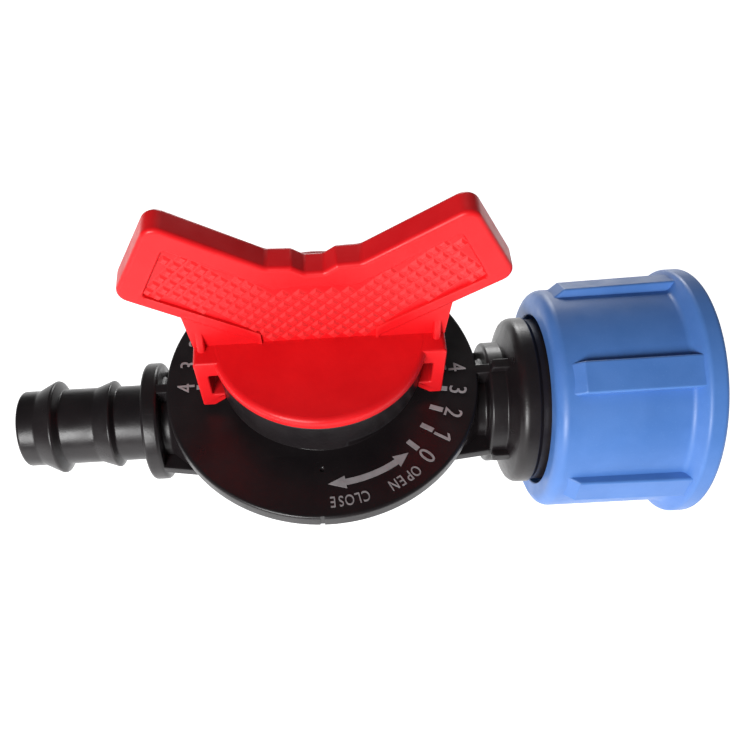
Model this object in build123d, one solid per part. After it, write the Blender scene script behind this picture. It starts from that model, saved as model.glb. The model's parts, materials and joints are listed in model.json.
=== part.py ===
from build123d import *
import math
import os

# Mini ball valve: a 16 mm hose tail on one side, a swivel coupling nut on the other, and a
# clip-on lever that turns a top-entry ball over a printed dial.
# Millimetres. The pipe runs along X, the spindle stands up along Z.
# Everything is drawn about the ball's centre, then moved so that the origin
# is the centre of the nut's threaded mouth.

# ---- pipe line -----------------------------------------------------------------
MOUTH_X = 55.5                 # ball centre to the open face of the nut
TAIL_TIP_X = -46.4             # end of the hose tail
TAIL_R = 5.8                   # hose tail outside
TAIL_BORE_R = 4.4
BARBS = ((-43.7, -40.85, -40.0, 7.3), (-34.9, -32.3, -31.6, 6.8))   # start, crest, end, radius
BARB_LAND = 0.35               # flat left on a barb's crest
COLLAR = (-27.0, -24.4, 9.05)  # left collar: from, to, radius
RING = (24.6, 26.9, 9.25)      # right ring: from, to, radius
CORE_R = 6.6                   # pipe between collar and housing
BARREL_R = 8.4                 # pipe through the housing
BARREL_X = 21.2                # where the barrel starts to narrow
FIN_T = 1.6                    # the four stiffening fins
FIN_R = (9.2, 10.3)            # fin reach beside the housing, and past the right ring

# ---- housing, dial and boss ----------------------------------------------------
HOUSING_R = 12.2
HOUSING_Z = -12.0
CHAMBER_R = 9.2
LEDGE_Z = 8.6                  # floor of the spindle bore
DISC_R = 23.05
DISC_Z = (6.87, 9.13)
BOSS_NECK_R = 12.4
BOSS_BORE_R = 11.0
LIP_R = 14.4
LIP_Z = (12.5, 18.2)
LIP_TRACK_Z = 13.7             # lip underside where the hooks travel
TRACK = (-77.5, 20.5)          # stop shoulders of one hook's track, degrees
SCALE_0 = -45.5                # dial: direction of mark 0
SCALE_STEP = 11.74             # dial: degrees between marks

# ---- ball, seats and spindle ---------------------------------------------------
BALL_R = 8.5
BALL_BORE_R = 3.4
SEAT_R = (3.5, 7.2)
SEAT_X = (5.0, 9.2)
BACKING_R = 0.8                # section of the ring behind each seat
BACKING_MEAN_R = 6.2
RUN_GAP = 0.06                 # running clearance
HEAD_R = BOSS_BORE_R - RUN_GAP
HEAD_Z = (9.0, 15.6)
RING_SECTION_R = 0.9
SEAL_Z = (10.9, 13.7)
SQUARE = 9.0                   # drive square on top of the spindle
TANG = (2.9, 9.0)              # drive tang into the ball: thickness, width

# ---- handle --------------------------------------------------------------------
CAP_R = 14.9
CAP_Z = (18.6, 20.3)
HUB_R = 8.6
EAR_X = (15.35, 17.1)          # hook leg, inside and outside
EAR_HALF = 4.65
TOE_X = 13.6
TOE_Z = (10.5, 13.1)
GUSSET_X = (15.85, 16.95)        # upright rib between hook and web
GUSSET = ((-3.0, 20.2), (3.0, 20.2), (1.2, 24.4), (-1.2, 24.4))
FRAME_T = 3.75                 # raised frame of the finger grip
WEB_T = 3.2                    # web under the frame
PANEL_T = 2.9                  # between the floors of the two knurled panels

# ---- spigot and coupling nut -----------------------------------------------------
SPIGOT_X = (28.8, 34.6)        # large ring
SPIGOT_R = 12.8
SPIGOT_STEP = (31.5, 12.45)    # from here on, this radius
SPIGOT_NECK_R = 10.6
SPIGOT_LIP = (38.0, 39.6, 41.2, 11.7)
SPIGOT_BORE_R = 6.5
NUT_X = 32.4
NUT_R = 16.9                   # barrel at the flange
NUT_DRAFT = 0.15               # how much less it is at the shoulder
NUT_SHOULDER = 3.3
NUT_BORE_R = 13.15             # plain bore over the spigot
NUT_FLANGE_R = 18.8
NUT_FLANGE_X = 52.7
RIB_R = 18.15                  # grip ribs at the flange
RIB_DRAFT = 0.35
RIB_W = 4.6
RIB_X = (34.4, 53.4)
RIB_PHASE = 24.9               # first rib, degrees from straight up towards the front
THREAD_MINOR_R = 12.06         # G 3/4
THREAD_MAJOR_R = 13.22
NUT_COLLAR = (35.2, 37.6, 11.0)
NUT_RELIEF_X = 43.4            # behind this the thread gives way to a relief
WASHER = (41.2, 43.2, 7.0, 11.6)


def turned(points):
    """A body of revolution about the pipe axis from (x, radius) points."""
    face = make_face(Polyline([(x, r, 0) for x, r in points], close=True))
    return revolve(face, Axis.X, 360)


def rod(x0, x1, r):
    """A round bar along the pipe axis."""
    return Location(((x0 + x1) / 2, 0, 0), (0, 90, 0)) * Cylinder(r, x1 - x0)


def post(z0, z1, r):
    """A round bar along the spindle axis."""
    return Location((0, 0, (z0 + z1) / 2)) * Cylinder(r, z1 - z0)


def block(x0, x1, y0, y1, z0, z1):
    centre = ((x0 + x1) / 2, (y0 + y1) / 2, (z0 + z1) / 2)
    return Location(centre) * Box(x1 - x0, y1 - y0, z1 - z0)


def slab(points, thickness):
    """A plate standing in the X-Z plane, centred on it."""
    face = make_face(Polyline([(x, 0, z) for x, z in points], close=True))
    return extrude(face, thickness / 2, dir=(0, 1, 0), both=True)


def sector(r, a0, a1, z0, z1):
    """A pie slice about the spindle axis between two directions in degrees."""
    steps = 6
    rim = [a0 + (a1 - a0) * i / steps for i in range(steps + 1)]
    points = [(0, 0)] + [(r * math.cos(math.radians(a)), r * math.sin(math.radians(a))) for a in rim]
    face = make_face(Polyline([(x, y, z0) for x, y in points], close=True))
    return extrude(face, z1 - z0, dir=(0, 0, 1))


def both_ends(shape):
    """The shape and its copy half a turn round the spindle."""
    return shape + Rot(0, 0, 180) * shape


# ---- valve body: hose tail, housing, dial, boss and spigot in one moulding ---------
def pipe_line():
    """Hose tail, collar, barrel, ring and spigot: one body of revolution."""
    edge = 0.6
    profile = [(TAIL_TIP_X, 0), (TAIL_TIP_X, TAIL_R - 0.4), (TAIL_TIP_X + 0.5, TAIL_R)]
    for start, crest, end, r in BARBS:
        profile += [(start, TAIL_R), (crest, r), (crest + BARB_LAND, r), (end, TAIL_R)]
    profile += [(COLLAR[0], TAIL_R), (COLLAR[0], COLLAR[2] - edge), (COLLAR[0] + edge, COLLAR[2]),
                (COLLAR[1] - edge, COLLAR[2]), (COLLAR[1], COLLAR[2] - edge), (COLLAR[1], CORE_R),
                (-BARREL_X - 1.9, CORE_R), (-BARREL_X, BARREL_R), (BARREL_X, BARREL_R),
                (BARREL_X + 1.9, CORE_R), (RING[0], CORE_R), (RING[0], RING[2] - edge),
                (RING[0] + edge, RING[2]), (RING[1] + 0.2, RING[2]), (RING[1] + 0.6, SPIGOT_R - 1.8),
                (SPIGOT_X[0] - 0.5, SPIGOT_R - 0.6), (SPIGOT_X[0] + 0.2, SPIGOT_R),
                (SPIGOT_STEP[0] - 0.3, SPIGOT_R), SPIGOT_STEP, (SPIGOT_X[1], SPIGOT_STEP[1]),
                (SPIGOT_X[1], SPIGOT_NECK_R),
                (SPIGOT_LIP[0], SPIGOT_NECK_R), (SPIGOT_LIP[0], SPIGOT_LIP[3]),
                (SPIGOT_LIP[1], SPIGOT_LIP[3]), (SPIGOT_LIP[2], SPIGOT_NECK_R + 0.2), (SPIGOT_LIP[2], 0)]
    return turned(profile)


def flow_way():
    """The bore from the hose tail to the spigot, with the seat pockets."""
    pocket = SEAT_X[1] + 2 * BACKING_R
    return turned([(TAIL_TIP_X - 1, 0), (TAIL_TIP_X - 1, TAIL_BORE_R), (-pocket, TAIL_BORE_R),
                   (-pocket, SEAT_R[1]), (pocket, SEAT_R[1]), (pocket, TAIL_BORE_R),
                   (SPIGOT_X[0] - 3, TAIL_BORE_R), (SPIGOT_X[0], SPIGOT_BORE_R),
                   (SPIGOT_LIP[2] + 1, SPIGOT_BORE_R), (SPIGOT_LIP[2] + 1, 0)])


def fins():
    """Fins at top, bottom, front and back, on both sides of the housing; the side ones flare."""
    made = []
    for turn, flare in ((0, 0.0), (90, 0.8), (180, 0.0), (270, 0.8)):
        root = FIN_R[0] - 0.15 + flare
        left = [(COLLAR[1], 0), (COLLAR[1], FIN_R[0] - 0.2), (-19.0, root), (-19.0, 0)]
        right = [(19.0, 0), (19.0, root), (RING[0] + 0.4, FIN_R[0]), (RING[0] + 0.4, FIN_R[1]),
                 (SPIGOT_X[0] + 0.2, FIN_R[1]), (SPIGOT_X[0] + 0.2, 0)]
        made += [Rot(turn, 0, 0) * slab(side, FIN_T) for side in (left, right)]
    return made


def make_body():
    housing = post(HOUSING_Z, DISC_Z[0] + 0.5, HOUSING_R)
    housing = fillet(housing.edges().filter_by(GeomType.CIRCLE).sort_by(Axis.Z)[0], 3)
    disc = post(DISC_Z[0], DISC_Z[1], DISC_R)
    disc = fillet(disc.edges().filter_by(GeomType.CIRCLE), 0.35)
    lip = post(LIP_Z[0], LIP_Z[1], LIP_R)
    lip = fillet(lip.edges().filter_by(GeomType.CIRCLE).sort_by(Axis.Z)[-1], 0.4)
    track = sector(LIP_R * 3, TRACK[0], TRACK[1], LIP_Z[0] - 1, LIP_TRACK_Z)
    track -= post(LIP_Z[0] - 2, LIP_TRACK_Z + 1, BOSS_NECK_R - 0.5)
    lip -= both_ends(track)
    boss = post(DISC_Z[1] - 0.5, LIP_Z[1] - 1, BOSS_NECK_R)
    body = pipe_line() + housing + disc + boss + lip
    for fin in fins():
        body += fin
    body -= post(-CHAMBER_R, LEDGE_Z + 1, CHAMBER_R)
    body -= post(LEDGE_Z, LIP_Z[1] + 1, BOSS_BORE_R)
    body -= flow_way()
    gate = Location((0, -15.5, DISC_Z[1])) * Cylinder(0.6, 0.3)
    return body - gate


# ---- ball, seats and the rings behind them ---------------------------------------
def make_ball():
    ball = Sphere(BALL_R) - rod(-BALL_R, BALL_R, BALL_BORE_R)
    slot = block(-BALL_R, BALL_R, -TANG[0] / 2 - 0.05, TANG[0] / 2 + 0.05, 5.4, BALL_R)
    flat = block(-BALL_R, BALL_R, -BALL_R, BALL_R, 7.9, BALL_R)
    return ball - slot - flat


def make_seat(side):
    """A ring whose inner face follows the ball."""
    contact_r = BALL_R + RUN_GAP
    inner_x = math.sqrt(contact_r**2 - SEAT_R[0]**2)
    outer_r = math.sqrt(contact_r**2 - SEAT_X[0]**2)
    half = (math.atan2(SEAT_R[0], inner_x) + math.atan2(outer_r, SEAT_X[0])) / 2
    middle = (contact_r * math.cos(half), contact_r * math.sin(half), 0)
    face_curve = ThreePointArc((inner_x, SEAT_R[0], 0), middle, (SEAT_X[0], outer_r, 0))
    rest = Polyline((SEAT_X[0], outer_r, 0), (SEAT_X[0], SEAT_R[1], 0), (SEAT_X[1], SEAT_R[1], 0),
                    (SEAT_X[1], SEAT_R[0], 0), (inner_x, SEAT_R[0], 0))
    ring = revolve(make_face([face_curve, rest]), Axis.X, 360)
    return Rot(0, 0, 0 if side > 0 else 180) * ring


def make_backing(side):
    x = side * (SEAT_X[1] + BACKING_R)
    return Location((x, 0, 0), (0, 90, 0)) * Torus(BACKING_MEAN_R, BACKING_R)


# ---- spindle and its two seal rings ------------------------------------------------
def make_stem():
    stem = post(HEAD_Z[0], HEAD_Z[1], HEAD_R)
    stem = chamfer(stem.edges().filter_by(GeomType.CIRCLE), 0.4)
    for z in SEAL_Z:
        groove = post(z - 1.1, z + 1.1, HEAD_R + 1) - post(z - 2, z + 2, HEAD_R - 2 * RING_SECTION_R)
        stem -= groove
    tang = block(-TANG[1] / 2, TANG[1] / 2, -TANG[0] / 2, TANG[0] / 2, 5.6, HEAD_Z[0] + 0.5)
    tang &= post(5, 10, 4.5) + block(-TANG[1] / 2, TANG[1] / 2, -2, 2, 5, 10)
    square = block(-SQUARE / 2, SQUARE / 2, -SQUARE / 2, SQUARE / 2, HEAD_Z[1] - 0.5, CAP_Z[0])
    square = chamfer(square.edges().filter_by(Axis.Z), 0.6)
    well = block(-2, 2, -2, 2, HEAD_Z[1] - 3, CAP_Z[0] + 1)
    return stem + tang + square - well


def make_seal(z):
    return Location((0, 0, z)) * Torus(HEAD_R - RING_SECTION_R, RING_SECTION_R - 0.02)


# ---- handle ----------------------------------------------------------------------
def wing_outline(bottom_z):
    """Outer outline of the frame, with the finger dip in the middle of its top edge."""
    half = [(25.15, 31.1), (8.4, 20.5), (8.4, bottom_z)]
    top = [(18.6, 42.7), (5.8, 34.65), (2.7, 34.5), (1.2, 33.4)]
    right = list(reversed(top)) + half
    return right + [(-x, z) for x, z in reversed(right)]


def panel_outline(bottom_z):
    right = [(5.4, 30.9), (17.45, 38.6), (21.45, 31.0), (7.7, 22.45), (7.7, bottom_z)]
    return right + [(-x, z) for x, z in reversed(right)]


def make_handle():
    cap = post(CAP_Z[0], CAP_Z[1], CAP_R)
    cap = fillet(cap.edges().filter_by(GeomType.CIRCLE).sort_by(Axis.Z)[-1], 0.9)
    hub = post(HEAD_Z[1], CAP_Z[0] + 0.2, HUB_R)
    handle = cap + hub
    ear = block(12.0, EAR_X[1], -EAR_HALF, EAR_HALF, CAP_Z[0], CAP_Z[1])
    leg = block(EAR_X[0], EAR_X[1], -EAR_HALF, EAR_HALF, TOE_Z[0], CAP_Z[1])
    toe = slab([(EAR_X[1], TOE_Z[0]), (EAR_X[0], TOE_Z[0]), (TOE_X, TOE_Z[0] + 1.4),
                (TOE_X, TOE_Z[1]), (EAR_X[1], TOE_Z[1])], 2 * EAR_HALF)
    hook = fillet((ear + leg).edges().filter_by(Axis.Y).sort_by(Axis.X)[-1], 0.5) + toe
    rib = make_face(Polyline([(GUSSET_X[0], y, z) for y, z in GUSSET], close=True))
    hook += extrude(rib, GUSSET_X[1] - GUSSET_X[0], dir=(1, 0, 0))
    handle += both_ends(hook)
    frame = slab(wing_outline(CAP_Z[1] - 0.2), FRAME_T)
    corners = frame.edges().filter_by(Axis.Y)
    frame = fillet(corners.filter_by(lambda e: abs(e.center().X) > 15), 1.9)
    web = slab([(17.1, CAP_Z[1] - 0.2), (17.6, 26.0), (0, 24.0), (-17.6, 26.0),
                (-17.1, CAP_Z[1] - 0.2)], WEB_T)
    recess = slab(panel_outline(CAP_Z[1]), FRAME_T + 1) - slab(panel_outline(CAP_Z[1] - 1), PANEL_T)
    grip = frame + web - recess
    handle += grip
    socket = block(-SQUARE / 2, SQUARE / 2, -SQUARE / 2, SQUARE / 2, HEAD_Z[1] - 1, CAP_Z[0])
    return handle - socket


# ---- coupling nut and washer -------------------------------------------------------
def make_nut():
    left_r = NUT_R - NUT_DRAFT
    profile = [(NUT_X, NUT_BORE_R)]
    for degrees in range(0, 91, 15):
        turn = math.radians(degrees)
        profile.append((NUT_X + NUT_SHOULDER * (1 - math.cos(turn)),
                        left_r - NUT_SHOULDER * (1 - math.sin(turn))))
    profile += [(NUT_FLANGE_X - 2.0, NUT_R), (NUT_FLANGE_X - 1.1, NUT_R + 0.35),
                (NUT_FLANGE_X - 0.4, NUT_R + 1.0), (NUT_FLANGE_X, NUT_FLANGE_R),
                (MOUTH_X - 0.8, NUT_FLANGE_R), (MOUTH_X, NUT_FLANGE_R - 0.8),
                (MOUTH_X, THREAD_MINOR_R + 0.4), (MOUTH_X - 0.4, THREAD_MINOR_R),
                (NUT_RELIEF_X, THREAD_MINOR_R), (NUT_RELIEF_X - 0.9, THREAD_MAJOR_R + 0.2),
                (NUT_COLLAR[1], THREAD_MAJOR_R + 0.2), (NUT_COLLAR[1], NUT_COLLAR[2]),
                (NUT_COLLAR[0], NUT_COLLAR[2]), (NUT_COLLAR[0], NUT_BORE_R)]
    nut = turned(profile)
    rib = slab([(RIB_X[0], NUT_R - 2), (RIB_X[0], left_r - 0.3), (RIB_X[0] + 1.8, RIB_R - RIB_DRAFT),
                (RIB_X[1], RIB_R), (RIB_X[1], NUT_R - 2)], RIB_W)
    for k in range(6):
        nut += Rot(RIB_PHASE + 60 * k, 0, 0) * rib
    return nut


def make_washer():
    return rod(WASHER[0], WASHER[1], WASHER[3]) - rod(WASHER[0], WASHER[1], WASHER[2])


# ---- printed dial ------------------------------------------------------------------
PRINT_T = 0.12                 # ink film
BAR = (17.5, 1.95, 0.7)        # scale bar: middle radius, length, width
FIGURE = (20.1, 2.5, 0.38)     # figure: middle radius, height, stroke
LETTER = (20.7, 1.7, 0.24)     # letter: middle radius, height, stroke
WORDS = (("OPEN", -53.3, -3.7), ("CLOSE", -74.2, -3.95))   # word, first letter's direction, step
ARROW = (-82.0, -57.0)         # directions of the arrow's two heads' backs
ARROW_R = 17.9


def polar(r, a):
    return (r * math.cos(math.radians(a)), r * math.sin(math.radians(a)), DISC_Z[1])


# characters as strokes on a cell 4 wide and 6 high
STROKES = {
    "0": [[(1, 0), (3, 0), (4, 1), (4, 5), (3, 6), (1, 6), (0, 5), (0, 1), (1, 0)]],
    "1": [[(1, 4.8), (2.4, 6), (2.4, 0)]],
    "2": [[(0, 4.7), (1, 6), (3, 6), (4, 5), (4, 4), (0, 0), (4, 0)]],
    "3": [[(0, 5.2), (1, 6), (3, 6), (4, 5.1), (4, 4), (3, 3.2), (1.6, 3.2)],
          [(3, 3.2), (4, 2.3), (4, 1), (3, 0), (1, 0), (0, 0.9)]],
    "4": [[(3, 0), (3, 6), (0, 2), (4, 2)]],
    "P": [[(0, 0), (0, 6), (3, 6), (4, 5.2), (4, 3.8), (3, 3), (0, 3)]],
    "E": [[(4, 0), (0, 0), (0, 6), (4, 6)], [(0, 3), (3.2, 3)]],
    "N": [[(0, 0), (0, 6), (4, 0), (4, 6)]],
    "C": [[(4, 1), (3, 0), (1, 0), (0, 1), (0, 5), (1, 6), (3, 6), (4, 5)]],
    "L": [[(0, 6), (0, 0), (4, 0)]],
    "S": [[(0, 1), (1, 0), (3, 0), (4, 1), (4, 2.2), (3, 3)],
          [(3, 3), (1, 3), (0, 3.8), (0, 5), (1, 6), (3, 6), (4, 5)]],
}
STROKES["O"] = STROKES["0"]


def stroke(p, q, width):
    """A flat bar from p to q with square ends."""
    length = math.dist(p, q) + width
    angle = math.degrees(math.atan2(q[1] - p[1], q[0] - p[0]))
    return Location(((p[0] + q[0]) / 2, (p[1] + q[1]) / 2, 0), (0, 0, angle)) * Rectangle(length, width)


def lettering(character, size, a):
    """One character standing on the disc, its top pointing outwards."""
    r, height, width = size
    unit = height / 6
    flat = Sketch()
    for line in STROKES[character]:
        points = [((x - 2) * unit * 0.85, (y - 3) * unit) for x, y in line]
        for p, q in zip(points, points[1:]):
            flat += stroke(p, q, width)
    return Location(polar(r, a), (0, 0, a - 90)) * extrude(flat, PRINT_T)


def scale_bar(a):
    r, length, width = BAR
    lying = (Align.CENTER, Align.CENTER, Align.MIN)
    return Location(polar(r, a), (0, 0, a)) * Box(length, width, PRINT_T, align=lying)


def arrow():
    """A bent arrow with a head at each end."""
    back, front = ARROW
    steps = 10
    arc = [back + (front - back) * i / steps for i in range(steps + 1)]
    outer = [polar(ARROW_R + 0.38, a) for a in arc]
    inner = [polar(ARROW_R - 0.37, a) for a in reversed(arc)]
    head_out = [polar(ARROW_R + 0.95, front), polar(ARROW_R, front + 7), polar(ARROW_R - 0.95, front)]
    head_in = [polar(ARROW_R - 0.95, back), polar(ARROW_R, back - 7.6), polar(ARROW_R + 0.95, back)]
    return extrude(make_face(Polyline(outer + head_out + inner + head_in, close=True)), PRINT_T)


def make_dial():
    marks = [arrow()]
    for k in range(5):
        a = SCALE_0 + SCALE_STEP * k
        marks += [scale_bar(a), lettering(str(k), FIGURE, a)]
    for word, start, step in WORDS:
        marks += [lettering(letter, LETTER, start + step * i) for i, letter in enumerate(word)]
    return Compound([m for mark in marks for m in (mark, Rot(0, 0, 180) * mark)])


nodes = {
    "valve_body": make_body(),
    "dial_print": make_dial(),
    "ball": make_ball(),
    "seat_hose_side": make_seat(-1),
    "seat_nut_side": make_seat(1),
    "seat_backing_hose_side": make_backing(-1),
    "seat_backing_nut_side": make_backing(1),
    "spindle": make_stem(),
    "spindle_seal_lower": make_seal(SEAL_Z[0]),
    "spindle_seal_upper": make_seal(SEAL_Z[1]),
    "handle": make_handle(),
    "coupling_nut": make_nut(),
    "sealing_washer": make_washer(),
}

os.makedirs("parts", exist_ok=True)
for name, shape in nodes.items():
    placed = Location((-MOUTH_X, 0, 0)) * shape
    export_step(placed, f"parts/{name}.step")
    print(name, round(placed.volume, 1), "mm3, solids", len(placed.solids()))
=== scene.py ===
# %% [markdown]
# # A mini ball valve in three colours of plastic
# The valve is a black moulding with a barbed hose tail on one end and a spigot on the other. A blue
# coupling nut turns on the spigot, and a red lever clips over the boss in the middle. The ball, its
# seats and the spindle are inside.
#
# The CAD model says where everything is and how it moves. This script gives the four parts that show,
# which are the black moulding, its printed dial, the lever and the nut, the soft edges and fine
# relief of real mouldings, and it gives every part a finish.

# %% Load the fixed frame
import bpy
import bmesh
import math
from mathutils import Matrix, Vector
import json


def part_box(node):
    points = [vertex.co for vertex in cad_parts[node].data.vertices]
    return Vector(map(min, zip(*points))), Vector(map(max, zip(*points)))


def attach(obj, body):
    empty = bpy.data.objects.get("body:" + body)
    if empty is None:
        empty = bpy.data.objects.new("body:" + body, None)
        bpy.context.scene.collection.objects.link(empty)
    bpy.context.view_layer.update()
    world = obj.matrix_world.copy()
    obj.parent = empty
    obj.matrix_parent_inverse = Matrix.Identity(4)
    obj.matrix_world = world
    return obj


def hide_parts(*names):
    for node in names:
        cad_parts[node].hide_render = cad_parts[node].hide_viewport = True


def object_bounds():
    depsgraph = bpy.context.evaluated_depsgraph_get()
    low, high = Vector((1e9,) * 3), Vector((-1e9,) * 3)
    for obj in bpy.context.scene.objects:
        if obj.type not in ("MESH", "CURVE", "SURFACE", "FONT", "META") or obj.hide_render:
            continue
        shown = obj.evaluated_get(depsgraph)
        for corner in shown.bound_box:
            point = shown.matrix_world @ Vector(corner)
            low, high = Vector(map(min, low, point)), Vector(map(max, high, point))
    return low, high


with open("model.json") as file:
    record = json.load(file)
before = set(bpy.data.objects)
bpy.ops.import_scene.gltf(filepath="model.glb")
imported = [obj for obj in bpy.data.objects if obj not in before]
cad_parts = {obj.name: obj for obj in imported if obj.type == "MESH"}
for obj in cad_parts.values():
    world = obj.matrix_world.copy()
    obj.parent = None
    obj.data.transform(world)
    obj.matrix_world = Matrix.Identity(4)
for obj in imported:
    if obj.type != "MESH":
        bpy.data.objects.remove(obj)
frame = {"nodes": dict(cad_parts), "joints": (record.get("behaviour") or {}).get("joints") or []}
cad_low, cad_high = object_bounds()
MM = 0.001
joint_at = {joint["name"]: Vector(joint["pos_m"]) for joint in frame["joints"]}
ball_centre = joint_at["handle_turn"]
print("ball centre", tuple(ball_centre), "CAD box", tuple(cad_low), tuple(cad_high))

# %% [markdown]
# ## Working in millimetres about the ball
# A valve maker measures everything from the ball's centre, so the shapes below are drawn there in
# millimetres, and one helper scales them and moves them into the frame when a piece is finished.
# The pipe runs along X, and the spindle stands up along Z.

# %% Driving sizes, read from the frame where it has them
def span(node, axis):
    """Lowest and highest place of a CAD part along one axis, in millimetres from the ball."""
    low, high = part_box(node)
    return (low[axis] - ball_centre[axis]) / MM, (high[axis] - ball_centre[axis]) / MM

TAIL_TIP, LIP_END = span("valve_body", 0)
DISC_R = span("valve_body", 1)[1]
HOUSING_BOTTOM, BOSS_TOP = span("valve_body", 2)
PRINT_Z = span("dial_print", 2)
NUT_FROM, NUT_MOUTH = span("coupling_nut", 0)
FLANGE_R = span("coupling_nut", 1)[1]
print("tail", TAIL_TIP, "mouth", NUT_MOUTH, "disc", DISC_R, "flange", FLANGE_R)

# %% [markdown]
# ## Outlines, turned shapes and plates
# Most of the valve is turned or flat: pipes, rings and the nut are outlines spun about an axis, and
# fins, hooks and the finger grip are flat outlines pulled to a thickness. Moulded plastic has no
# knife edges, so the outline helper rounds each corner by its own radius before anything is spun.

# %% Helpers for outlines, turned shapes and plates
AXES = {"X": Vector((1, 0, 0)), "Z": Vector((0, 0, 1))}
MERGE = 1e-4       # points closer than this are one point
ARC_SHARE = 0.48   # how much of a side the round at one of its ends may take
SAME_PLACE = 0.01  # two measures closer than this are the same
PAST = 1           # a cutting tool reaches this far past the skin it cuts

def rounded(corners, closed=False, facets=4):
    """Points along an outline of (along, out, radius) corners, each corner turned into an arc."""
    points = []
    for i, (along, out, radius) in enumerate(corners):
        here = Vector((along, out))
        if radius == 0 or (not closed and i in (0, len(corners) - 1)):
            points.append(here)
            continue
        back = Vector(corners[i - 1][:2]) - here
        ahead = Vector(corners[(i + 1) % len(corners)][:2]) - here
        half = back.angle(ahead) / 2
        reach = min(radius / math.tan(half), ARC_SHARE * back.length, ARC_SHARE * ahead.length)
        inward = (back.normalized() + ahead.normalized()).normalized()
        centre = here + inward * reach / math.cos(half)
        start = here + back.normalized() * reach - centre
        end = here + ahead.normalized() * reach - centre
        bend = reach * math.tan(half)
        points += [centre + start.slerp(end, k / facets).normalized() * bend for k in range(facets + 1)]
    return points

def chain(bm, points, closed):
    """Join points into a line of edges, ready to spin."""
    verts = [bm.verts.new(p) for p in points]
    ends = verts[1:] + verts[:1] if closed else verts[1:]
    return verts + [bm.edges.new(pair) for pair in zip(verts, ends)]

def tidy(bm):
    """Merge what meets, drop what has no size and turn all faces outwards."""
    bmesh.ops.remove_doubles(bm, verts=bm.verts, dist=MERGE)
    bmesh.ops.dissolve_degenerate(bm, edges=bm.edges, dist=MERGE)
    bmesh.ops.recalc_face_normals(bm, faces=bm.faces)
    return bm

def turned(corners, axis, closed=True, steps=128, facets=4):
    """A solid of revolution; an open outline starts and ends on the axis."""
    bm = bmesh.new()
    flat = rounded(corners, closed, facets)
    if axis == "X":
        points = [(along, 0, out) for along, out in flat]
    else:
        points = [(out, 0, along) for along, out in flat]
    bmesh.ops.spin(bm, geom=chain(bm, points, closed), cent=(0, 0, 0), axis=AXES[axis],
                   angle=2 * math.pi, steps=steps, use_merge=True)
    return tidy(bm)

def plate(corners, y_from, y_to, facets=4):
    """A flat outline in X and Z, pulled from one Y to another."""
    bm = bmesh.new()
    outline = [bm.verts.new((x, y_from, z)) for x, z in rounded(corners, True, facets)]
    grown = bmesh.ops.extrude_face_region(bm, geom=[bm.faces.new(outline)])
    moved = [v for v in grown["geom"] if isinstance(v, bmesh.types.BMVert)]
    bmesh.ops.translate(bm, verts=moved, vec=(0, y_to - y_from, 0))
    return tidy(bm)

def block(low, high):
    """A box between two corners."""
    bm = bmesh.new()
    size = Vector(high) - Vector(low)
    bmesh.ops.create_cube(bm, size=1, matrix=Matrix.Translation((Vector(low) + Vector(high)) / 2)
                          @ Matrix.Diagonal((*size, 1)))
    return bm

def soften(bm, radius, chosen=lambda edge: True, segments=3, sharper_than=25):
    """Round the chosen edges that are sharp."""
    limit = math.radians(sharper_than)
    sharp = [e for e in bm.edges if e.is_manifold and e.calc_face_angle(0) > limit and chosen(e)]
    bmesh.ops.bevel(bm, geom=sharp, offset=radius, offset_type="OFFSET", segments=segments,
                    profile=0.5, affect="EDGES", clamp_overlap=False, material=-1)
    return tidy(bm)

def flat_edge(edge):
    """True for an edge that stays in one X-Z plane, such as the rim of a plate."""
    return abs(edge.verts[0].co.y - edge.verts[1].co.y) < SAME_PLACE

def spun_copy(bm, degrees, axis):
    """A copy of a shape, turned about an axis through the ball."""
    twin = bm.copy()
    turn = Matrix.Rotation(math.radians(degrees), 3, AXES[axis])
    bmesh.ops.rotate(twin, verts=twin.verts, cent=(0, 0, 0), matrix=turn)
    return twin

print("helpers ready")

# %% [markdown]
# ## Joining and cutting
# A mould makes the fins, the pipe and the housing as one skin, with no walls left inside. Laying
# closed shapes over each other would look the same but leave hidden faces, so each shape is added to
# or cut from the part with Blender's exact Boolean solver, one after another. Only the knurl and the
# thread, which stand on a wall without changing it, are laid on with their roots buried.

# %% Helpers that join, cut and finish
SMOOTH_DEGREES = 32

def temporary(bm):
    """Put a shape in the scene for the Boolean solver to find."""
    mesh = bpy.data.meshes.new("working_shape")
    bm.to_mesh(mesh)
    obj = bpy.data.objects.new("working_shape", mesh)
    bpy.context.scene.collection.objects.link(obj)
    return obj

def combined(base, tools, operation):
    """Join tools to the base, or cut them away from it, and give the result as a new shape."""
    worked = temporary(base)
    helpers = [temporary(tool) for tool in tools]
    for helper in helpers:
        step = worked.modifiers.new("step", "BOOLEAN")
        step.operation = operation
        step.solver = "EXACT"
        step.object = helper
    solved = worked.evaluated_get(bpy.context.evaluated_depsgraph_get())
    result = bpy.data.meshes.new_from_object(solved)
    out = bmesh.new()
    out.from_mesh(result)
    for helper in helpers + [worked]:
        bpy.data.objects.remove(helper)
    bmesh.ops.remove_doubles(out, verts=out.verts, dist=MERGE)
    return out

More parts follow.
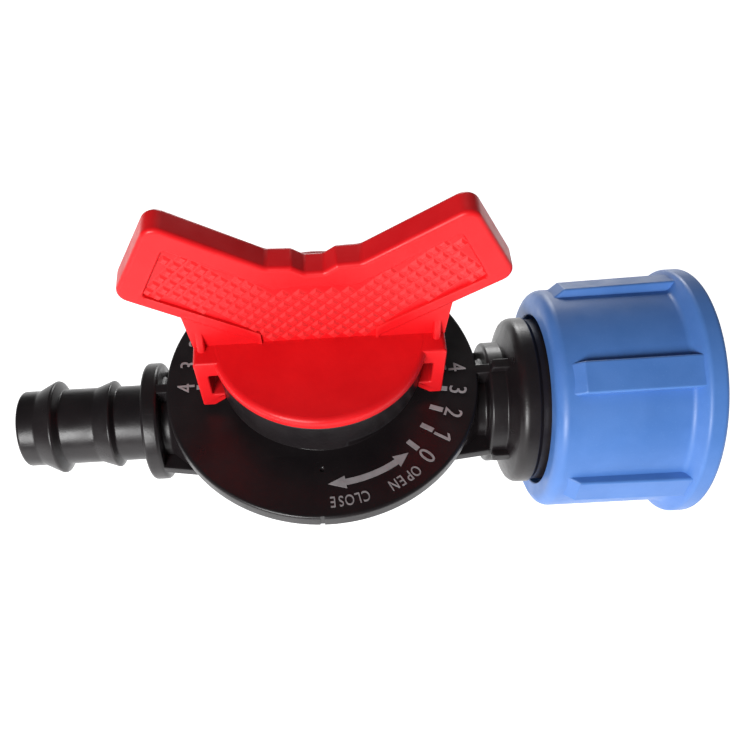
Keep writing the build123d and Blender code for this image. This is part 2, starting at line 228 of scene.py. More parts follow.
def finished(name, bm, body, node):
    """Scale a shape into the frame, make it a piece that rides its body and hide its CAD part."""
    into_frame = Matrix.Translation(ball_centre) @ Matrix.Scale(MM, 4)
    bmesh.ops.transform(bm, verts=bm.verts, matrix=into_frame)
    mesh = bpy.data.meshes.new(name)
    bm.to_mesh(mesh)
    for face in mesh.polygons:
        face.use_smooth = True
    mesh.set_sharp_from_angle(angle=math.radians(SMOOTH_DEGREES))
    piece = bpy.data.objects.new(name, mesh)
    bpy.context.scene.collection.objects.link(piece)
    shading = piece.modifiers.new("even shading", "WEIGHTED_NORMAL")
    shading.keep_sharp = True
    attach(piece, body)
    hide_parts(node)
    open_edges = sum(1 for e in bm.edges if not e.is_manifold)
    places = [[corner[axis] for corner in piece.bound_box] for axis in range(3)]
    size = [round((max(along) - min(along)) / MM, 2) for along in places]
    print(name, len(mesh.polygons), "faces", open_edges, "open edges, size in mm", size)
    return piece

# %% [markdown]
# ## The black moulding: pipe line
# Hose tail, barbs, collars and spigot are round about one axis, so one outline spun about X makes
# them all. The barbs are the part a hose grips: a slow rise, a rounded crest and a steep back. The
# inside is cut later, together with the housing, so that the ball's chamber opens into the pipe.

# %% Spin the pipe line
TAIL_R = 5.8
BARREL_R = 8.4
CORE_R = 6.6
COLLAR_R = 9.05
BIG_RING_R = 12.8
NECK_R = 10.6
SMALL_RING_R = 9.25
SPIGOT_LIP_R = 11.7
BIG_RING_X = (28.8, 34.6)
BIG_RING_STEP = 0.35
COLLAR_BACK = -24.4

pipe = turned([
    (TAIL_TIP, 0, 0), (TAIL_TIP, TAIL_R, 0.5),
    (-43.7, TAIL_R, 1.2), (-40.75, 7.3, 0.45), (-40.0, TAIL_R, 0.3),
    (-34.9, TAIL_R, 1.2), (-32.2, 6.8, 0.35), (-31.6, TAIL_R, 0.3),
    (-27.0, TAIL_R, 0.3), (-27.0, COLLAR_R, 0.6), (COLLAR_BACK, COLLAR_R, 0.6), (COLLAR_BACK, CORE_R, 0.4),
    (-23.1, CORE_R, 0.8), (-21.2, BARREL_R, 0.8), (21.2, BARREL_R, 0.8), (23.1, CORE_R, 0.8),
    (24.6, CORE_R, 0.4), (24.6, SMALL_RING_R, 0.5), (27.2, SMALL_RING_R, 0.3), (28.5, BIG_RING_R, 1.5),
    (31.0, BIG_RING_R, 0.2), (31.5, BIG_RING_R - BIG_RING_STEP, 0.2),
    (BIG_RING_X[1], BIG_RING_R - BIG_RING_STEP, 0.3), (BIG_RING_X[1], NECK_R, 0.3),
    (38.0, NECK_R, 0.2), (38.0, SPIGOT_LIP_R, 0.3), (39.6, SPIGOT_LIP_R, 0.3),
    (LIP_END, 10.8, 0.3), (LIP_END, 0, 0),
], "X", closed=False, steps=160)
print("pipe line", len(pipe.faces), "faces")

# %% [markdown]
# ## The black moulding: housing, dial and boss
# The cup that holds the ball, the flat dial and the boss that the lever turns on share the spindle's
# axis, so they are a second spun outline. Under the boss's lip the lever's hooks run in a shallow
# track that ends in two shoulders, which stop the lever at open and at closed. A track sector is a
# small rectangle spun through part of a turn, and it is cut from the lip.

# %% Spin the housing and cut the hook tracks
HOUSING_R = 12.2
BOSS_R = 12.4
LIP_R = 14.4
DISC_Z = (6.87, PRINT_Z[0])
LIP_BOTTOM = 12.5
TRACK_ROOF = 13.7
TRACK_DEGREES = (-77.5, 20.5)

housing = turned([
    (HOUSING_BOTTOM, 0, 0), (HOUSING_BOTTOM, HOUSING_R, 3.0), (DISC_Z[0], HOUSING_R, 0.5),
    (DISC_Z[0], DISC_R, 0.3), (DISC_Z[1], DISC_R, 0.45), (DISC_Z[1], BOSS_R, 0.1),
    (LIP_BOTTOM, BOSS_R, 0.2), (LIP_BOTTOM, LIP_R, 0.2), (BOSS_TOP, LIP_R, 0.5), (BOSS_TOP, 0, 0),
], "Z", closed=False, steps=160)

def track_sector(start, stop):
    """A ring sector that lifts the underside of the lip."""
    bm = bmesh.new()
    inner = BOSS_R - 0.05
    outer = LIP_R + 2 * PAST
    low = LIP_BOTTOM - PAST
    rim = [(inner, low), (outer, low), (outer, TRACK_ROOF), (inner, TRACK_ROOF)]
    first = [bm.verts.new((r, 0, z)) for r, z in rim]
    section = bm.faces.new(first)
    turn = Matrix.Rotation(math.radians(start), 3, "Z")
    bmesh.ops.rotate(bm, verts=first, cent=(0, 0, 0), matrix=turn)
    bmesh.ops.spin(bm, geom=[section] + section.edges[:] + first, cent=(0, 0, 0), axis=AXES["Z"],
                   angle=math.radians(stop - start), steps=40, use_merge=False)
    bmesh.ops.recalc_face_normals(bm, faces=bm.faces)
    return bm

tracks = [track_sector(TRACK_DEGREES[0] + half_turn, TRACK_DEGREES[1] + half_turn)
          for half_turn in (0, 180)]
print("housing", len(housing.faces), "faces")

# %% [markdown]
# ## The black moulding: fins, gate mark and the way through
# Four thin fins on each side tie the pipe to the housing. They start as flat outlines, get their
# long edges rounded while they are still simple, and are turned about the pipe. Then everything is
# joined, and the ball chamber, the spindle's bore and the flow way are cut out as turned tools.

# %% Build the fins, join the moulding and cut its insides
FIN_T = 1.6
FIN_FOOT = 5
FIN_FLARES = {0: 0.0, 90: 0.8, 180: 0.0, 270: 0.8}
FIN_END_R = 10.3
CHAMBER_R = 9.2
WELL_FLOOR = 8.6
WELL_R = 11.0
POCKET_X = 10.8
POCKET_R = 7.2
BORE_R = 4.4
SPIGOT_BORE_R = 6.5
GATE_AT = (-0.7, -15.5)

def fin_pair(turn, flare):
    """The fins on both sides of the housing at one angle round the pipe."""
    root = COLLAR_R + flare
    in_collar = COLLAR_BACK - 0.6
    in_ring = BIG_RING_X[0] + 0.4
    left = [(in_collar, 0, 0), (in_collar, 8.85, 0), (-19.0, root, 0), (-17.0, root, 0), (-17.0, 0, 0)]
    right = [(17.0, 0, 0), (17.0, root, 0), (19.0, root, 0), (25.0, 9.2, 0.2), (25.0, FIN_END_R, 0.5),
             (in_ring, FIN_END_R, 0), (in_ring, 0, 0)]
    sides = []
    for outline in (left, right):
        fin = plate(outline, -FIN_T / 2, FIN_T / 2)
        soften(fin, 0.25, lambda edge: min(v.co.z for v in edge.verts) > FIN_FOOT, 2)
        sides.append(spun_copy(fin, turn, "X"))
    return sides

fins = [fin for turn, flare in FIN_FLARES.items() for fin in fin_pair(turn, flare)]

chamber = turned([
    (-CHAMBER_R, 0, 0), (-CHAMBER_R, CHAMBER_R, 0.6), (WELL_FLOOR, CHAMBER_R, 0), (WELL_FLOOR, WELL_R, 0.2),
    (BOSS_TOP - 0.3, WELL_R, 0), (BOSS_TOP + PAST, 12.3, 0), (BOSS_TOP + PAST, 0, 0),
], "Z", closed=False, steps=96)
flow_way = turned([
    (TAIL_TIP - PAST, 0, 0), (TAIL_TIP - PAST, 5.6, 0), (TAIL_TIP + 0.5, BORE_R, 0.3),
    (-POCKET_X, BORE_R, 0), (-POCKET_X, POCKET_R, 0), (POCKET_X, POCKET_R, 0), (POCKET_X, BORE_R, 0),
    (25.8, BORE_R, 1.0), (28.8, SPIGOT_BORE_R, 1.0), (LIP_END - 0.4, SPIGOT_BORE_R, 0.2),
    (LIP_END + PAST, 7.9, 0), (LIP_END + PAST, 0, 0),
], "X", closed=False, steps=96)
gate_dimple = bmesh.new()
bmesh.ops.create_uvsphere(gate_dimple, u_segments=16, v_segments=10, radius=0.5,
                          matrix=Matrix.Translation((*GATE_AT, DISC_Z[1] + 0.3)))
rim_nick = block((-1.3, -DISC_R - PAST, DISC_Z[0] - PAST), (-0.7, -DISC_R + 0.3, DISC_Z[1] + PAST))

housing = combined(housing, tracks, "DIFFERENCE")
moulding = combined(pipe, [housing] + fins, "UNION")
moulding = combined(moulding, [chamber, flow_way, gate_dimple, rim_nick], "DIFFERENCE")
valve_body = finished("valve_body_moulding", moulding, "body", "valve_body")

# %% [markdown]
# ## The printed dial
# The dial is pad-printed: a film of grey ink a tenth of a millimetre proud. It could be painted in
# the plastic's material, but ink that is its own thin piece keeps crisp edges at any distance. The
# figures come from Blender's own font, the bars and the two-headed arrow are drawn as flat shapes,
# and the whole scale is repeated half a turn round, because the lever has two hooks.

# %% Make the ink's shapes
INK_BOTTOM = DISC_Z[1] - 0.03  # the ink is rooted a little way into the disc
INK_T = PRINT_Z[1] - INK_BOTTOM
SCALE_START = -45.5
SCALE_STEP = 11.74
ARROW_R = (16.92, 17.44, 17.9, 18.36, 18.88)
ARROW_DEGREES = (-89.8, -82, -57, -50)
ARROW_STEPS = 16

def on_dial(radius, degrees):
    """Matrix that stands a flat shape on the dial with its top pointing outwards."""
    turn = Matrix.Rotation(math.radians(degrees), 4, "Z")
    return turn @ Matrix.Translation((radius, 0, INK_BOTTOM)) @ Matrix.Rotation(math.radians(-90), 4, "Z")

def inked(bm, ink, matrix):
    """Thicken a flat shape and add it to the ink, here and half a turn round."""
    grown = bmesh.ops.extrude_face_region(bm, geom=bm.faces[:])
    lifted = [v for v in grown["geom"] if isinstance(v, bmesh.types.BMVert)]
    bmesh.ops.translate(bm, verts=lifted, vec=(0, 0, INK_T))
    bmesh.ops.recalc_face_normals(bm, faces=bm.faces)
    bmesh.ops.transform(bm, verts=bm.verts, matrix=matrix)
    for half_turn in (0, 180):
        copy = bpy.data.meshes.new("ink")
        spun_copy(bm, half_turn, "Z").to_mesh(copy)
        ink.from_mesh(copy)
        bpy.data.meshes.remove(copy)

def letter(text, height, width):
    """One character as a flat mesh, centred and scaled to a height and a width."""
    curve = bpy.data.curves.new("letter", "FONT")
    curve.body = text
    curve.resolution_u = 4
    obj = bpy.data.objects.new("letter", curve)
    bpy.context.scene.collection.objects.link(obj)
    bpy.context.view_layer.update()
    bm = bmesh.new()
    drawn = obj.evaluated_get(bpy.context.evaluated_depsgraph_get())
    bm.from_mesh(bpy.data.meshes.new_from_object(drawn))
    bpy.data.objects.remove(obj)
    bmesh.ops.remove_doubles(bm, verts=bm.verts, dist=1e-5)
    xs = [v.co.x for v in bm.verts]
    ys = [v.co.y for v in bm.verts]
    scale = height / (max(ys) - min(ys))
    middle = Vector(((min(xs) + max(xs)) / 2, (min(ys) + max(ys)) / 2, 0))
    bmesh.ops.translate(bm, verts=bm.verts, vec=-middle)
    bmesh.ops.scale(bm, verts=bm.verts, vec=(scale * width, scale, 1))
    return bm

def flat_shape(points):
    """A flat face from a few corners."""
    bm = bmesh.new()
    bm.faces.new([bm.verts.new((x, y, 0)) for x, y in points])
    return bm

def arrow():
    """A bent arrow with a head at each end."""
    def at(radius, degrees):
        return radius * math.cos(math.radians(degrees)), radius * math.sin(math.radians(degrees))
    head_in, shaft_in, middle, shaft_out, head_out = ARROW_R
    first_tip, first, last, last_tip = ARROW_DEGREES
    sweep = [first + (last - first) * i / ARROW_STEPS for i in range(ARROW_STEPS + 1)]
    points = [at(shaft_out, angle) for angle in sweep]
    points += [at(head_out, last), at(middle, last_tip), at(head_in, last)]
    points += [at(shaft_in, angle) for angle in reversed(sweep)]
    points += [at(head_in, first), at(middle, first_tip), at(head_out, first)]
    return flat_shape(points)

# %% Print the dial
BAR = [(-0.36, -0.98), (0.36, -0.98), (0.36, 0.98), (-0.36, 0.98)]
FLAGGED_ONE = [(0.08, -1.27), (0.46, -1.27), (0.46, 1.27), (0.12, 1.27), (-0.62, 0.72), (-0.62, 0.35),
               (0.08, 0.82)]
BARS_R = 17.5
FIGURES_R = 20.05
WORDS_R = 20.7
FIGURE_SIZE = (2.55, 0.86)
WORD_SIZE = (1.6, 0.74)

ink = bmesh.new()
for mark in range(5):
    direction = SCALE_START + SCALE_STEP * mark
    inked(flat_shape(BAR), ink, on_dial(BARS_R, direction))
    figure = flat_shape(FLAGGED_ONE) if mark == 1 else letter(str(mark), *FIGURE_SIZE)
    inked(figure, ink, on_dial(FIGURES_R, direction))
for word, start, step in (("OPEN", -53.7, -3.45), ("CLOSE", -75.7, -3.2)):
    for i, character in enumerate(word):
        inked(letter(character, *WORD_SIZE), ink, on_dial(WORDS_R, start + step * i))
inked(arrow(), ink, Matrix.Translation((0, 0, INK_BOTTOM)))
dial_ink = finished("dial_ink", ink, "body", "dial_print")

# %% [markdown]
# ## The lever: cap and hooks
# The lever is one red moulding. Its round cap covers the boss, a square socket underneath takes the
# spindle, and two legs with inward toes clip under the boss's lip. The cap is spun with a rounded
# rim, and each hook is drawn from the side and pulled to its width, so that the notch between its
# toe and the cap is there in the round.

# %% Make the cap, the hub and the two hooks
CAP_Z = (18.6, 20.3)
CAP_R = 14.9
EAR_HALF = 4.65
EAR_X = (15.35, 17.1)
EAR_ROOT = 12.0
EAR_TOP = CAP_Z[1] - 0.03
EAR_BOTTOM = 10.5
HUB_FROM = 9.0
HUB_R = 8.6
SOCKET_HALF = 4.5

cap = turned([(CAP_Z[0], 0, 0), (CAP_Z[0], CAP_R, 0.25), (CAP_Z[1], CAP_R, 0.95), (CAP_Z[1], 0, 0)],
             "Z", closed=False, steps=160, facets=6)
hub = turned([(HUB_FROM, 0, 0), (HUB_FROM, HUB_R, 0.3), (CAP_Z[0] + 0.2, HUB_R, 0), (CAP_Z[0] + 0.2, 0, 0)],
             "Z", closed=False, steps=96)
socket = block((-SOCKET_HALF, -SOCKET_HALF, HUB_FROM - PAST), (SOCKET_HALF, SOCKET_HALF, CAP_Z[0]))

hook = plate([
    (EAR_ROOT, EAR_TOP, 0), (EAR_X[1], EAR_TOP, 0.6), (EAR_X[1], EAR_BOTTOM, 0.3),
    (EAR_X[0], EAR_BOTTOM, 0.3), (13.6, 11.9, 0.3), (13.6, 13.1, 0.2), (EAR_X[0], 13.1, 0.3),
    (EAR_X[0], 17.35, 0.3), (EAR_ROOT, 17.35, 0),
], -EAR_HALF, EAR_HALF)
soften(hook, 0.3, lambda edge: flat_edge(edge) and max(v.co.x for v in edge.verts) > EAR_ROOT + 0.1, 3)

GUSSET_X = 15.35
GUSSET_T = 1.1
GUSSET_FOOT = CAP_Z[1] - 0.3
GUSSET_TIP = 24.2

def gusset():
    """The small upright rib that stiffens a hook against the grip."""
    bm = bmesh.new()
    corners = [(2.9, GUSSET_FOOT), (1.2, GUSSET_TIP), (-1.2, GUSSET_TIP), (-2.9, GUSSET_FOOT)]
    face = bm.faces.new([bm.verts.new((GUSSET_X, y, z)) for y, z in corners])
    grown = bmesh.ops.extrude_face_region(bm, geom=[face])
    moved = [v for v in grown["geom"] if isinstance(v, bmesh.types.BMVert)]
    bmesh.ops.translate(bm, verts=moved, vec=(GUSSET_T, 0, 0))
    bmesh.ops.recalc_face_normals(bm, faces=bm.faces)
    return soften(bm, 0.4, lambda edge: max(v.co.z for v in edge.verts) > CAP_Z[1], 3)

hooks = [spun_copy(part, half_turn, "Z") for part in (hook, gusset()) for half_turn in (0, 180)]
print("cap and hooks", len(cap.faces), len(hook.faces))

# %% [markdown]
# ## The lever: finger grip
# The grip is a plate shaped like a shallow V with a dip for a fingertip. Both its faces have a
# raised frame around a sunk panel, and the panel is knurled. The frame is the outline with its edges
# rounded, the two webs that carry it are thinner, and the panel is cut with a slab from each side.

# %% Make the grip's frame, web and sunk panels
FRAME_HALF = 1.875
WEB_HALF = 1.6
PANEL_HALF = 1.45
GRIP_ROOT = CAP_Z[1] - 0.2
RIM_FROM = 22.6

def mirrored(right_half):
    """A whole outline from its right half, with the left half its mirror image."""
    return right_half + [(-x, z, radius) for x, z, radius in reversed(right_half)]

wing = mirrored([(1.2, 33.4, 0.8), (2.7, 34.5, 0.7), (5.8, 34.65, 1.5), (18.6, 42.67, 1.9),
                 (25.15, 31.1, 1.9), (8.4, 20.5, 0.4), (8.4, GRIP_ROOT, 0)])
grip_frame = soften(plate(wing, -FRAME_HALF, FRAME_HALF, facets=6), 0.6, segments=4,
                    chosen=lambda edge: max(v.co.z for v in edge.verts) > CAP_Z[1] and flat_edge(edge))
web_right = [(17.05, GRIP_ROOT, 0), (17.6, 27.0, 0), (8.05, 21.5, 0), (8.05, GRIP_ROOT, 0)]
webs = [spun_copy(plate(web_right, -WEB_HALF, WEB_HALF), half_turn, "Z") for half_turn in (0, 180)]
panel = mirrored([(5.4, 30.9, 0.6), (17.45, 38.6, 0.5), (21.45, 31.0, 0.5), (7.7, 22.45, 0.3),
                  (7.7, CAP_Z[1] - 0.3, 0)])

def panel_cutter(side):
    """A slab that sinks the panel on one face."""
    return plate(panel, side * PANEL_HALF, side * (FRAME_HALF + PAST))

def panel_rim(edge):
    """True for an edge of the frame's face where the panel has been cut away, above the narrow foot."""
    on_face = abs(abs(edge.verts[0].co.y) - FRAME_HALF) < SAME_PLACE
    return flat_edge(edge) and on_face and min(v.co.z for v in edge.verts) > RIM_FROM

grip_frame = combined(grip_frame, [panel_cutter(-1), panel_cutter(1)], "DIFFERENCE")
soften(grip_frame, 0.28, panel_rim, 3, sharper_than=60)
handle = combined(cap, [hub] + hooks + webs + [grip_frame], "UNION")
handle = combined(handle, [socket], "DIFFERENCE")
print("handle", len(handle.faces), "faces")

# %% [markdown]
# ## The lever: knurling
# The knurl is a field of small diamonds with their points up and down, set in staggered rows. A real
# diamond is a low pyramid with a worn flat on top. One such pyramid has only a few faces, so a few
# hundred copies stay light, and a copy is kept where it stands inside the sunk panel.

# %% Cover both panels with diamonds
KNURL_STEP = 1.035
DIAMOND = (0.95, 0.45)
KNURL_HEIGHT = 0.25
KNURL_ROOT = 0.06
KNURL_MARGIN = 0.45
KNURL_ROWS = 18
KNURL_COLUMNS = 21
FIRST_ROW = CAP_Z[1] + 0.9

def inside(outline, x, z):
    """True where a point lies inside a closed outline."""
    crossings = 0
    for (x0, z0, _), (x1, z1, _) in zip(outline, outline[1:] + outline[:1]):
        if (z0 > z) != (z1 > z) and x < x0 + (z - z0) * (x1 - x0) / (z1 - z0):
            crossings += 1
    return crossings % 2 == 1

def diamond(bm, x, z, side):
    """One low pyramid on a panel, rooted a little under the panel's floor."""
    shape = bmesh.ops.create_cone(bm, cap_ends=True, segments=4, radius1=DIAMOND[0], radius2=DIAMOND[1],
                                  depth=KNURL_HEIGHT + KNURL_ROOT)
    turn = Matrix.Rotation(math.radians(-90 * side), 3, "X")
    bmesh.ops.rotate(bm, verts=shape["verts"], cent=(0, 0, 0), matrix=turn)
    middle = side * (PANEL_HALF + KNURL_HEIGHT / 2 - KNURL_ROOT / 2)
    bmesh.ops.translate(bm, verts=shape["verts"], vec=(x, middle, z))

knurl = bmesh.new()
count = 0
for row in range(KNURL_ROWS):
    for column in range(-KNURL_COLUMNS, KNURL_COLUMNS + 1):
        x = column * KNURL_STEP
        z = FIRST_ROW + row * KNURL_STEP
        corners_in = [inside(panel, x + dx * KNURL_MARGIN, z + dz * KNURL_MARGIN)
                      for dx, dz in ((1, 0), (-1, 0), (0, 1), (0, -1))]
        if (row + column) % 2 == 0 and all(corners_in):
            diamond(knurl, x, z, -1)
            diamond(knurl, x, z, 1)
            count += 1
knurl_mesh = bpy.data.meshes.new("knurl")
knurl.to_mesh(knurl_mesh)
handle.from_mesh(knurl_mesh)
print("diamonds on each side", count)
lever = finished("handle_moulding", handle, "rotor", "handle")

# %% [markdown]
# ## The coupling nut
# The nut is a cup with a big round shoulder, six flat grip ribs and a flared lip at its mouth, and
# its inside has a pipe thread. The wall is one closed outline spun about the pipe. A rib is a flat
# outline with a slanted nose; its long edges get a small round each before it joins the wall.

# %% Make the nut's wall and ribs
NUT_R = 16.9
SHOULDER_R = 16.75
RIB_R = 18.15
RIB_W = 4.6
RIB_X = (34.4, 53.6)
RIB_ROOT_R = NUT_R - 2
RIB_PHASE = 24.9
HOLE_R = 13.15
WASHER_LEDGE_R = 11.0
THREAD_MINOR_R = 12.06
THREAD_MAJOR_R = 13.22
THREAD_PITCH = 1.814

wall = turned([
    (NUT_FROM, HOLE_R, 0.3), (NUT_FROM, SHOULDER_R, 3.4), (51.4, NUT_R, 1.1), (52.8, FLANGE_R, 0.9),
    (NUT_MOUTH, FLANGE_R, 0.8), (NUT_MOUTH, THREAD_MAJOR_R + 0.3, 0.2), (NUT_MOUTH - 0.5, THREAD_MAJOR_R, 0),
    (37.6, THREAD_MAJOR_R, 0.2), (37.6, WASHER_LEDGE_R, 0.2), (35.2, WASHER_LEDGE_R, 0.2),
    (35.2, HOLE_R, 0.2),
], "X", closed=True, steps=160, facets=7)

def rib_edge(edge):
    """True for an edge of a rib that shows; the root and the end in the flared lip stay square."""
    above_root = min(v.co.z for v in edge.verts) > RIB_ROOT_R + 0.1
    before_lip = min(v.co.x for v in edge.verts) < RIB_X[1] - 0.1
    return flat_edge(edge) and above_root and before_lip

rib = plate([
    (RIB_X[0], RIB_ROOT_R, 0), (RIB_X[0], SHOULDER_R - 0.3, 0.4), (36.2, RIB_R - 0.35, 0.4),
    (RIB_X[1], RIB_R, 0), (RIB_X[1], RIB_ROOT_R, 0),
], -RIB_W / 2, RIB_W / 2)
soften(rib, 0.35, rib_edge, 3)
ribs = [spun_copy(rib, RIB_PHASE + 60 * k, "X") for k in range(6)]
nut = combined(wall, ribs, "UNION")
print("nut wall and ribs", len(nut.faces), "faces")

# %% [markdown]
# ## The nut's thread
# The thread is a ridge that climbs as it turns. Spin does that as well: given an offset for each
# step, it lifts the section along the axis while it turns it. The section is the ridge between two
# grooves, a trapezoid with its root buried in the wall, and its two open ends are filled.

# %% Spin the thread and finish the nut
THREAD_FROM = 43.5
THREAD_SETBACK = 1.6
TURNS = int((NUT_MOUTH - THREAD_SETBACK - THREAD_FROM) / THREAD_PITCH)
TURN_STEPS = 56
RIDGE_ROOT_R = THREAD_MAJOR_R + 0.12
RIDGE_CREST_R = THREAD_MINOR_R + 0.05

thread = bmesh.new()
section = [(0.0, RIDGE_ROOT_R), (0.62, RIDGE_CREST_R), (0.98, RIDGE_CREST_R), (1.60, RIDGE_ROOT_R)]
start = chain(thread, [(THREAD_FROM + x, 0, r) for x, r in section], True)
bmesh.ops.spin(thread, geom=start, cent=(0, 0, 0), axis=AXES["X"], dvec=(THREAD_PITCH / TURN_STEPS, 0, 0),
               angle=2 * math.pi * TURNS, steps=TURN_STEPS * TURNS, use_merge=False)
bmesh.ops.holes_fill(thread, edges=[e for e in thread.edges if e.is_boundary], sides=0)
bmesh.ops.recalc_face_normals(thread, faces=thread.faces)
thread_mesh = bpy.data.meshes.new("thread")
thread.to_mesh(thread_mesh)
nut.from_mesh(thread_mesh)
print("thread", TURNS, "turns")
coupling = finished("coupling_nut_moulding", nut, "nut", "coupling_nut")

# %% [markdown]
# ## Finishes
# Each part is a plastic or a rubber, and no two are alike, but they are built the same way: a base
# colour that drifts a little, as pigment does in a moulding, a roughness that varies with handling,
# fine bump from the mould's surface, hair scratches, and lighter edges, partly polish from handling
# and partly a painted highlight. One function builds that network, and each finish gives it its own
# numbers.

# %% A function for moulded finishes
def linked(tree, kind, **inputs):
    """Add a node and set or link its inputs by name."""
    node = tree.nodes.new(kind)
    for name, value in inputs.items():
        socket = node.inputs[name.replace("_", " ")]
        if isinstance(value, bpy.types.NodeSocket):
            tree.links.new(value, socket)
        else:
            socket.default_value = value
    return node

def colour_mix(tree, factor, first, second):
    """Mix two colours by a factor; each may be a colour or a socket."""
    mix = tree.nodes.new("ShaderNodeMix")
    mix.data_type = "RGBA"
    tree.links.new(factor, mix.inputs[0])
    for socket, value in ((mix.inputs[6], first), (mix.inputs[7], second)):
        if isinstance(value, bpy.types.NodeSocket):
            tree.links.new(value, socket)
        else:
            socket.default_value = (*value, 1)
    return mix.outputs[2]

def mapped(tree, value, low, high, to_low, to_high):
    """Stretch one range of a value on to another, clamped."""
    node = linked(tree, "ShaderNodeMapRange", Value=value, From_Min=low, From_Max=high,
                  To_Min=to_low, To_Max=to_high)
    return node.outputs[0]

def moulded(name, base, shade, worn_and_sheen, rough, grain=0.06, sheen_ior=1.46, cloud=140, edge_band=0.0006):
    """A plastic finish: drifting colour, fine mould grain, hair scratches, and lighter edges from polish and
    a painted highlight.
    """
    material = bpy.data.materials.new(name)
    material.use_nodes = True
    tree = material.node_tree
    shader = tree.nodes["Principled BSDF"]
    place = tree.nodes.new("ShaderNodeTexCoord").outputs["Object"]
    from_ball = tuple(-c for c in ball_centre)
    centred = linked(tree, "ShaderNodeMapping", Vector=place, Location=from_ball).outputs[0]

    def noise(vector, scale, detail, **more):
        """A noise pattern's value, laid out along a vector."""
        node = linked(tree, "ShaderNodeTexNoise", Vector=vector, Scale=scale, Detail=detail, **more)
        return node.outputs[0]

    drift = noise(centred, cloud, 3.0, Roughness=0.55)
    speck = noise(centred, 4200.0, 2.0)
    colour = colour_mix(tree, mapped(tree, drift, 0.35, 0.65, 0.0, 1.0), base, shade)
    colour = colour_mix(tree, mapped(tree, speck, 0.62, 0.78, 0.0, 0.22), colour, worn_and_sheen)

    # Convex edges take the worn colour: partly real polish, partly a painted highlight along the rims.
    edge = tree.nodes.new("ShaderNodeAmbientOcclusion")
    edge.inside = True
    edge.samples = 6
    edge.inputs["Distance"].default_value = edge_band
    edge_wear_and_sheen = mapped(tree, edge.outputs["AO"], 0.82, 0.45, 0.0, 0.55)
    colour = colour_mix(tree, edge_wear_and_sheen, colour, worn_and_sheen)
    tree.links.new(colour, shader.inputs["Base Color"])

    stretched = linked(tree, "ShaderNodeMapping", Vector=centred, Rotation=(0.3, 0.2, 0.7),
                       Scale=(60, 2600, 1900)).outputs[0]
    hairs = noise(stretched, 1.0, 2.0)
    hair_mask = mapped(tree, hairs, 0.66, 0.74, 0.0, 1.0)
    smear = noise(centred, 320.0, 4.0)
    base_rough = mapped(tree, smear, 0.3, 0.7, rough - 0.06, rough + 0.07)
    total = linked(tree, "ShaderNodeMath", Value=base_rough)
    total.operation = "ADD"
    tree.links.new(mapped(tree, hair_mask, 0.0, 1.0, 0.0, 0.12), total.inputs[1])
    tree.links.new(total.outputs[0], shader.inputs["Roughness"])
    shader.inputs["IOR"].default_value = sheen_ior

    fine = noise(centred, 2600.0, 3.0)
    bump = linked(tree, "ShaderNodeBump", Strength=grain, Distance=0.0002, Height=fine).outputs[0]
    wavy = noise(centred, 170.0, 1.0)
    bump = linked(tree, "ShaderNodeBump", Strength=0.10, Distance=0.0006, Height=wavy,
                  Normal=bump).outputs[0]
    bump = linked(tree, "ShaderNodeBump", Strength=0.05, Distance=0.0001, Height=hair_mask,
                  Normal=bump).outputs[0]
    tree.links.new(bump, shader.inputs["Normal"])
    return material

# %% [markdown]
# ## The finishes of this valve
# Black glass-filled nylon is never quite black: it is satin, with a grey bloom. The lever is a
# saturated red acetal and the nut a softer, slightly chalky blue polypropylene. Inside, the ball is
# a pale glossy acetal, its seats a waxy white, and the seals are dull rubber.

# %% Make each finish and put it on its parts
# Each worn colour is used for specks and for the edges, where it is also a painted highlight.
FINISHES = {
    "black_nylon": dict(base=(0.009, 0.007, 0.008), shade=(0.013, 0.010, 0.011), worn_and_sheen=(0.035, 0.035, 0.037),
                        rough=0.33, sheen_ior=1.40),
    "grey_ink": dict(base=(0.35, 0.325, 0.335), shade=(0.28, 0.255, 0.265), worn_and_sheen=(0.16, 0.14, 0.14),
                     rough=0.55, cloud=900, edge_band=0.0001),
    "red_acetal": dict(base=(0.75, 0.010, 0.014), shade=(0.68, 0.007, 0.011), worn_and_sheen=(0.80, 0.035, 0.038),
                       rough=0.36, grain=0.05, sheen_ior=1.32),
    "blue_polypropylene": dict(base=(0.078, 0.205, 0.55), shade=(0.064, 0.180, 0.50), worn_and_sheen=(0.16, 0.33, 0.64),
                               rough=0.42),
    "white_acetal": dict(base=(0.78, 0.77, 0.73), shade=(0.70, 0.69, 0.65), worn_and_sheen=(0.85, 0.84, 0.80),
                         rough=0.22),
    "seat_polymer": dict(base=(0.80, 0.80, 0.78), shade=(0.72, 0.72, 0.70), worn_and_sheen=(0.86, 0.86, 0.85),
                         rough=0.45),
    "seal_rubber": dict(base=(0.012, 0.012, 0.013), shade=(0.02, 0.02, 0.02), worn_and_sheen=(0.05, 0.05, 0.05),
                        rough=0.62, grain=0.2),
    "black_acetal": dict(base=(0.010, 0.010, 0.011), shade=(0.015, 0.015, 0.016), worn_and_sheen=(0.05, 0.05, 0.05),
                         rough=0.30),
}
finish = {name: moulded(name, **numbers) for name, numbers in FINISHES.items()}

def dress(piece, name):
    """Give a piece one finish all over."""
    piece.data.materials.clear()
    piece.data.materials.append(finish[name])

for piece, name in ((valve_body, "black_nylon"), (dial_ink, "grey_ink"), (lever, "red_acetal"),
                    (coupling, "blue_polypropylene")):
    dress(piece, name)
for node, name in {"ball": "white_acetal", "seat_hose_side": "seat_polymer", "seat_nut_side": "seat_polymer",
                   "seat_backing_hose_side": "seal_rubber", "seat_backing_nut_side": "seal_rubber",
                   "spindle": "black_acetal", "spindle_seal_lower": "seal_rubber",
                   "spindle_seal_upper": "seal_rubber", "sealing_washer": "seal_rubber"}.items():
    dress(frame["nodes"][node], name)
print("finishes", sorted(finish))

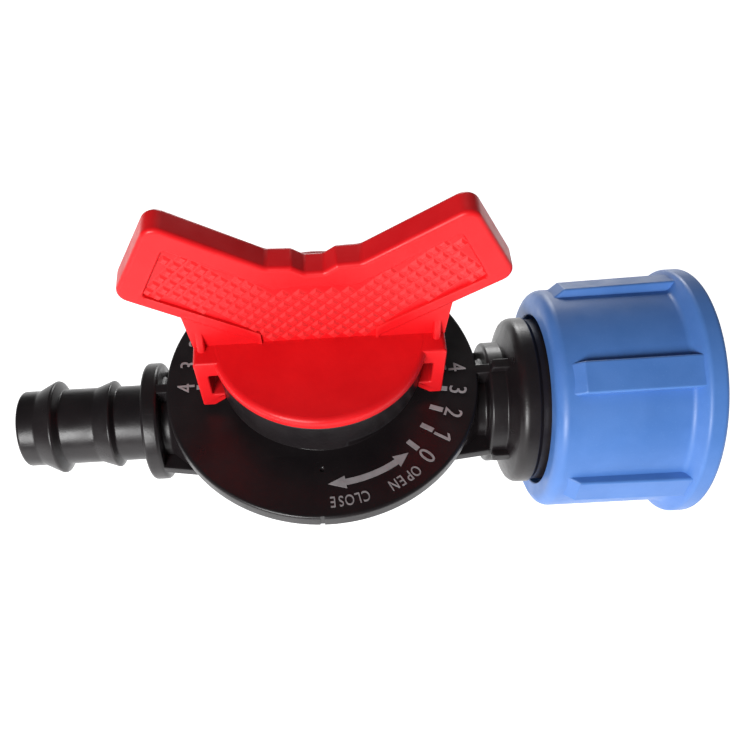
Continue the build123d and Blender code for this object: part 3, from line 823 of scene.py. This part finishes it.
# %% [markdown]
# ## Floor, light and camera
# The valve is held up by its hose tail, so the floor is a pale sheet well below it. A big soft light
# low in front does most of the work, which leaves faces that look up a step darker than faces that
# look forward. A weak one behind, little higher than the pipe, keeps the back readable and hardly
# touches the top. The camera looks down steeply from the front, close enough for the lever's wings to
# spread towards it.

# %% Lay the floor and light the room
FLOOR_DROP = 0.10
FLOOR_SIZE = 3.0
LIGHT_DISTANCE = 0.62

floor_mesh = bpy.data.meshes.new("floor")
sheet = bmesh.new()
bmesh.ops.create_grid(sheet, x_segments=1, y_segments=1, size=FLOOR_SIZE,
                      matrix=Matrix.Translation((0, 0, cad_low.z - FLOOR_DROP)))
sheet.to_mesh(floor_mesh)
floor = bpy.data.objects.new("floor", floor_mesh)
bpy.context.scene.collection.objects.link(floor)
paper = bpy.data.materials.new("floor_paper")
paper.use_nodes = True
paper_shader = paper.node_tree.nodes["Principled BSDF"]
paper_shader.inputs["Base Color"].default_value = (0.93, 0.93, 0.93, 1)
paper_shader.inputs["Roughness"].default_value = 0.9
paper_shader.inputs["Emission Color"].default_value = (1, 1, 1, 1)
paper_shader.inputs["Emission Strength"].default_value = 0.74
floor_mesh.materials.append(paper)

def softbox(name, direction, size, watts):
    """A square light that looks at the valve from a direction."""
    light = bpy.data.lights.new(name, "AREA")
    light.shape = "SQUARE"
    light.size = size
    light.energy = watts
    lamp = bpy.data.objects.new(name, light)
    bpy.context.scene.collection.objects.link(lamp)
    towards = Vector(direction).normalized()
    middle = (cad_low + cad_high) / 2
    lamp.location = middle + towards * LIGHT_DISTANCE
    lamp.rotation_euler = towards.to_track_quat("Z", "Y").to_euler()

softbox("key_light", (-0.42, -0.80, 0.42), 0.26, 4.7)
softbox("back_fill", (0.1, 0.95, 0.13), 0.2, 1.5)

room = bpy.data.worlds.new("room")
room.use_nodes = True
room.node_tree.nodes["Background"].inputs["Color"].default_value = (1, 1, 1, 1)
room.node_tree.nodes["Background"].inputs["Strength"].default_value = 0.09
bpy.context.scene.world = room
bpy.context.scene.view_settings.view_transform = "Standard"

# %% Aim the camera
CAMERA_FROM_BALL = Vector((0.81, -72.4, 110.78))
CAMERA_TURN = Vector((0.5096, 0.0039, -0.0616))  # an axis, as long as the turn in radians

camera_data = bpy.data.cameras.new("camera")
camera = bpy.data.objects.new("camera", camera_data)
bpy.context.scene.collection.objects.link(camera)
camera.location = ball_centre + CAMERA_FROM_BALL * MM
camera.rotation_mode = "QUATERNION"
turn = Matrix.Rotation(CAMERA_TURN.length, 3, CAMERA_TURN.normalized())
camera.rotation_quaternion = turn.to_quaternion()
camera_data.lens = 40.30
camera_data.sensor_width = 36.0
camera_data.shift_x = 0.0432
camera_data.shift_y = 0.1252
camera_data.clip_start = 0.005
bpy.context.scene.camera = camera

# %% [markdown]
# ## Finish

# %% Finish
import json
